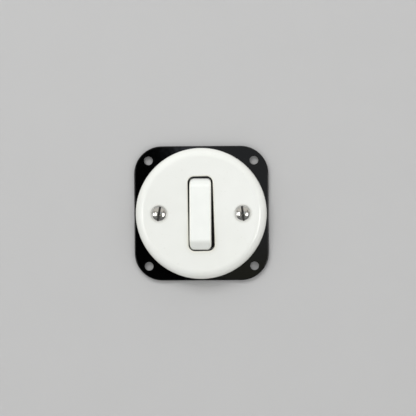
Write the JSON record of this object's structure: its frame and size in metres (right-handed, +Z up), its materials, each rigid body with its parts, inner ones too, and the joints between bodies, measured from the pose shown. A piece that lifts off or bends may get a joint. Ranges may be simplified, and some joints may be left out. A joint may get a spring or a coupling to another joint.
{
  "type": "pushbutton switch",
  "caption": "Flush wall push switch: round white porcelain cover with a long sprung rocker key and slotted screws, on a black rounded square plate, with its insert.",
  "frame": {"origin": "centre of the mounting plate's back face, on the wall, in the middle of the four corner holes", "axes": "+X to the right, +Z up the wall, -Y out of the wall towards the hand; the insert reaches into the wall along +Y"},
  "size_m": [0.0842, 0.0363, 0.0842],
  "materials": {
    "black_plate": "polished black",
    "porcelain": "clear glaze over white",
    "bright_screw": "nickel plated, polished",
    "white_key": "moulded white, semi gloss",
    "inner_white": "moulded, matt",
    "steel": "bright drawn",
    "zinc_steel": "zinc plated",
    "housing_thermoset": "moulded thermoset, satin",
    "base_steatite": "pressed steatite, unglazed",
    "brass": "stamped brass",
    "silver": "fine silver"
  },
  "bodies": {
    "insert": {"base_plate": "black_plate", "front_cover": "porcelain", "cover_screws": "bright_screw", "pivot_pin": "steel", "support_ring": "zinc_steel", "ring_screws": "zinc_steel", "insert_housing": "housing_thermoset", "insert_base": "base_steatite", "base_screws": "zinc_steel", "return_spring": "steel", "contact_strip_right": "brass", "contact_strip_left": "brass", "fixed_tips": "silver", "terminal_block_right": "brass", "terminal_block_left": "brass", "terminal_screws": "zinc_steel", "strip_screws": "zinc_steel"},
    "key": {"rocker_key": "white_key", "rocker_cradle": "inner_white"},
    "plunger": {"plunger": "inner_white", "contact_bridge": "brass", "bridge_tips": "silver"}
  },
  "joints": [
    {"name": "key_tilt", "type": "hinge", "parent": "insert", "child": "key", "pos_m": [0, -0.006, -0.0003], "axis": [1, 0, 0], "range_deg": [0, 7]},
    {"name": "plunger_slide", "type": "slide", "parent": "insert", "child": "plunger", "axis": [0, 1, 0], "range_m": [0, 0.00183], "stiffness_N_per_m": 400, "springref_m": -0.00375, "deforming": ["return_spring"]}
  ],
  "couplings": [
    {"joint": "key_tilt", "follows": "plunger_slide", "rad_per_m": 66.667}
  ]
}
